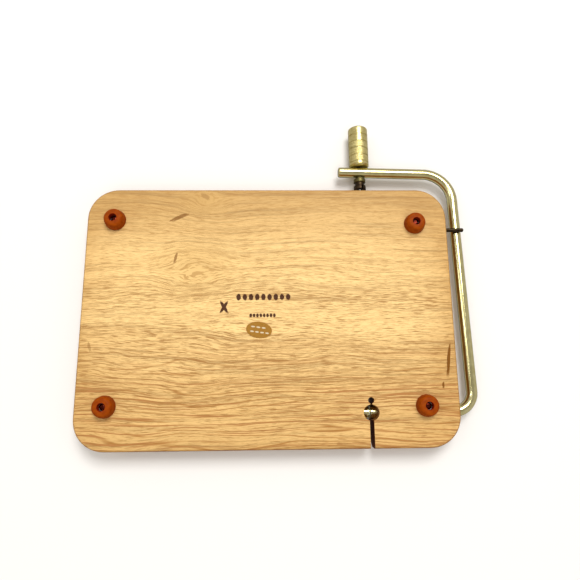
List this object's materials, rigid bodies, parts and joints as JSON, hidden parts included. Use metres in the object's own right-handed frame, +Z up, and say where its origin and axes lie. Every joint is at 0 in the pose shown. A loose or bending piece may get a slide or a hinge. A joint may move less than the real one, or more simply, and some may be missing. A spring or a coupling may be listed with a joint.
{
  "type": "cheese wire cutter",
  "caption": "Wooden cheese board on rubber feet with a hinged rod bow whose taut wire swings down into a groove to slice, tensioned by a knurled knob.",
  "frame": {"origin": "middle of the whole cutter's footprint, on the surface its feet stand on", "axes": "+Z up from the feet to the serving face, +X towards the side the bow is hinged on, -Y towards the tension knob"},
  "size_m": [0.2292, 0.197, 0.022],
  "materials": {
    "board_wood": "satin, oiled pale hardwood, grain along the long side",
    "foot_rubber": "satin amber rubber",
    "screw_steel": "dark steel, lightly worn",
    "washer_steel": "zinc plated",
    "bow_brass": "polished pale brass plating",
    "knob_brass": "turned brass with ring grooves and a mottled grip",
    "stud_bronze": "dark bronzed",
    "wire_steel": "drawn stainless wire",
    "label_brown": "satin brown, plain"
  },
  "bodies": {
    "base": {"board": "board_wood", "oval_label": "label_brown", "arm_rest_pin": "stud_bronze", "foot_front_left": "foot_rubber", "foot_washer_front_left": "washer_steel", "foot_screw_front_left": "screw_steel", "foot_front_right": "foot_rubber", "foot_washer_front_right": "washer_steel", "foot_screw_front_right": "screw_steel", "foot_back_right": "foot_rubber", "foot_washer_back_right": "washer_steel", "foot_screw_back_right": "screw_steel", "foot_back_left": "foot_rubber", "foot_washer_back_left": "washer_steel", "foot_screw_back_left": "screw_steel"},
    "bow": {"bow_rod": "bow_brass", "stud_collar": "stud_bronze", "cutting_wire": "wire_steel", "wire_ferrule_hinge_end": "wire_steel"},
    "knob": {"tension_knob": "knob_brass"},
    "stud": {"tension_stud": "stud_bronze", "wire_ferrule_knob_end": "wire_steel"}
  },
  "joints": [
    {"name": "bow_swing", "type": "hinge", "parent": "base", "child": "bow", "pos_m": [0.05093, 0.07896, 0.014], "axis": [-1, 0, 0], "range_deg": [0, 180]},
    {"name": "knob_turn", "type": "hinge", "parent": "bow", "child": "knob", "pos_m": [0.05093, -0.07206, 0.014], "axis": [0, -1, 0], "range_deg": [0, 1000]},
    {"name": "stud_draw", "type": "slide", "parent": "bow", "child": "stud", "axis": [0, 1, 0], "range_m": [0, 0.002], "deforming": ["cutting_wire"]}
  ],
  "couplings": [
    {"joint": "stud_draw", "follows": "knob_turn", "m_per_rad": 0.00011141}
  ]
}
